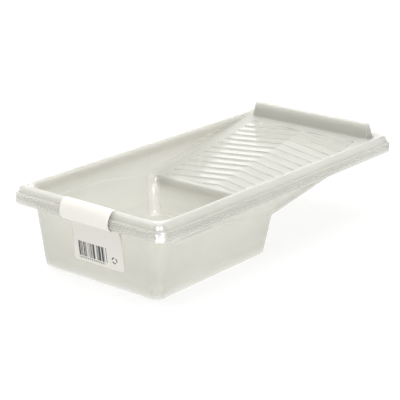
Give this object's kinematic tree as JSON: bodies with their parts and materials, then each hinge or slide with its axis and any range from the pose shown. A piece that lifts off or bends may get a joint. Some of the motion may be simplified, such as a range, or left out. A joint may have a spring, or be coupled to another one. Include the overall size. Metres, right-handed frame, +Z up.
{
  "type": "paint roller tray liner nest",
  "caption": "Nest of thin formed plastic liners for a mini paint roller tray, with a deep basin, a ramp with chevron steps, a hollow upstand and a paper label over the rim.",
  "frame": {"origin": "centre of the footprint at the underside of the lowest basin", "axes": "+X across the tray, +Y from the basin's front to the head of the ramp, +Z up"},
  "size_m": [0.15, 0.309, 0.0765],
  "materials": {
    "liner": "milky translucent polypropylene, satin",
    "paper": "uncoated cream-white label paper with a plain bar pattern"
  },
  "bodies": {
    "liner_1": {"liner_1": "liner"},
    "liner_2": {"liner_2": "liner"},
    "liner_3": {"liner_3": "liner"},
    "liner_4": {"liner_4": "liner"},
    "liner_5": {"liner_5": "liner"},
    "label": {"label": "paper"}
  },
  "joints": [
    {"name": "liner_2_lift", "type": "slide", "parent": "liner_1", "child": "liner_2", "axis": [0, 0, 1], "range_m": [0, 0.1]},
    {"name": "liner_3_lift", "type": "slide", "parent": "liner_2", "child": "liner_3", "axis": [0, 0, 1], "range_m": [0, 0.1]},
    {"name": "liner_4_lift", "type": "slide", "parent": "liner_3", "child": "liner_4", "axis": [0, 0, 1], "range_m": [0, 0.1]},
    {"name": "liner_5_lift", "type": "slide", "parent": "liner_4", "child": "liner_5", "axis": [0, 0, 1], "range_m": [0, 0.1]},
    {"name": "label_peel", "type": "hinge", "parent": "liner_5", "child": "label", "pos_m": [0.003, -0.14983, 0.0648], "axis": [-1, 0, 0], "range_deg": [0, 100], "deforming": ["label"]}
  ]
}
